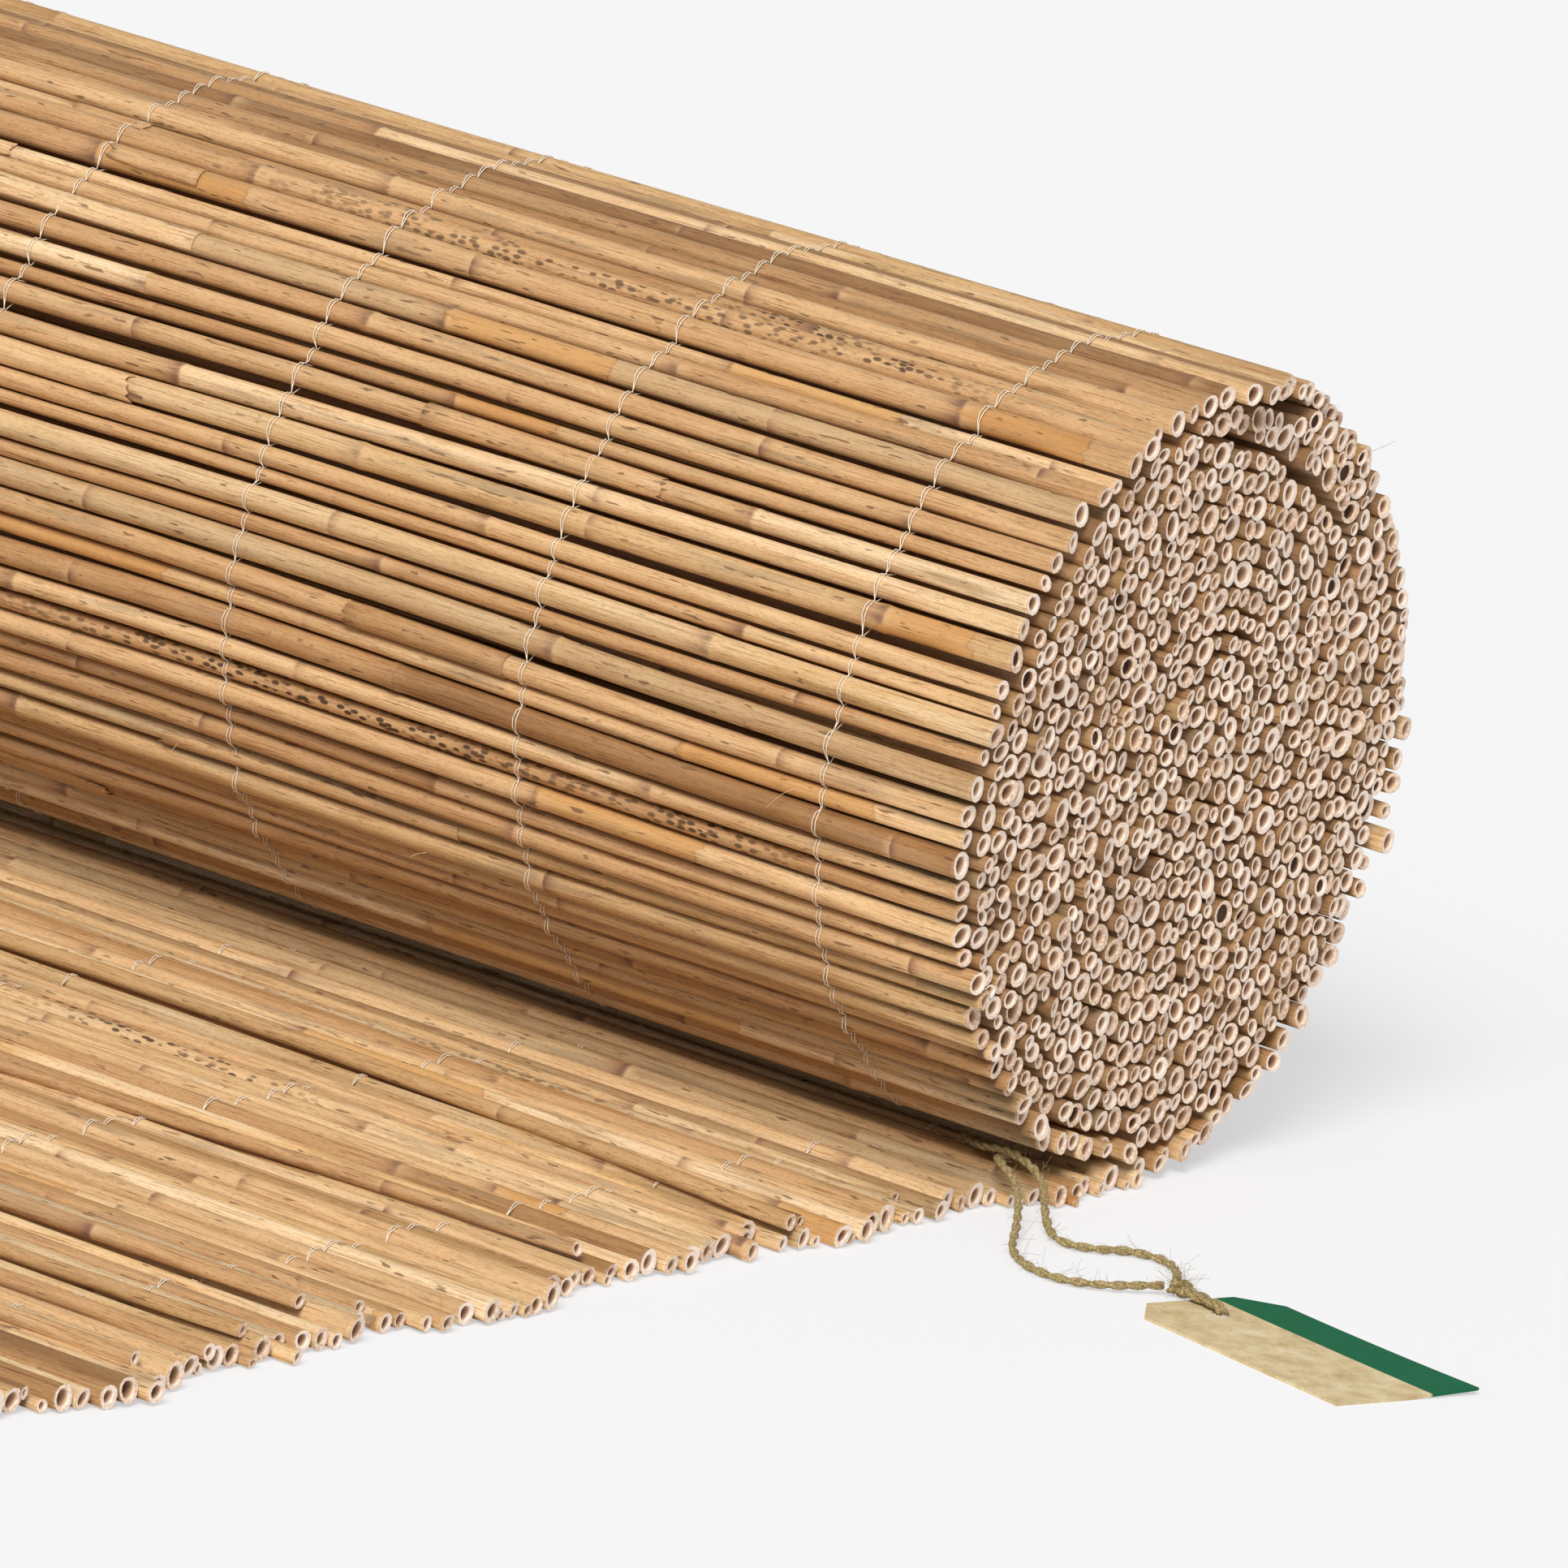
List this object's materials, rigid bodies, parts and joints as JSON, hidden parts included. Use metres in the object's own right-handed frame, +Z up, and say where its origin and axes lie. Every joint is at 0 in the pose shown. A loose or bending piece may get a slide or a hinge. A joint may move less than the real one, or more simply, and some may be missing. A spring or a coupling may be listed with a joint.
{
  "type": "reed screening roll",
  "caption": "Natural reed mat bound with nylon thread, wound into a roll with its loose end flat on the floor and a blank card tag tied at its edge.",
  "frame": {"origin": "the floor under the roll's axis, halfway along the reeds", "axes": "+X along the reeds towards the end that faces the viewer, +Z up, the loose end of the mat runs out towards -Y"},
  "size_m": [1.177, 0.7175, 0.2294],
  "materials": {
    "reed": "dry, satin skin on dried reed",
    "thread": "clear nylon monofilament",
    "tag": "matt brown card with one plain green band",
    "string": "twisted jute"
  },
  "bodies": {
    "root": {"roll_core": "reed", "outer_turn_reeds": "reed", "tail_reeds": "reed", "binding_threads": "thread", "hang_tag": "tag", "string_knot": "string", "string_front_strand": "string", "string_rear_strand": "string"}
  },
  "joints": []
}
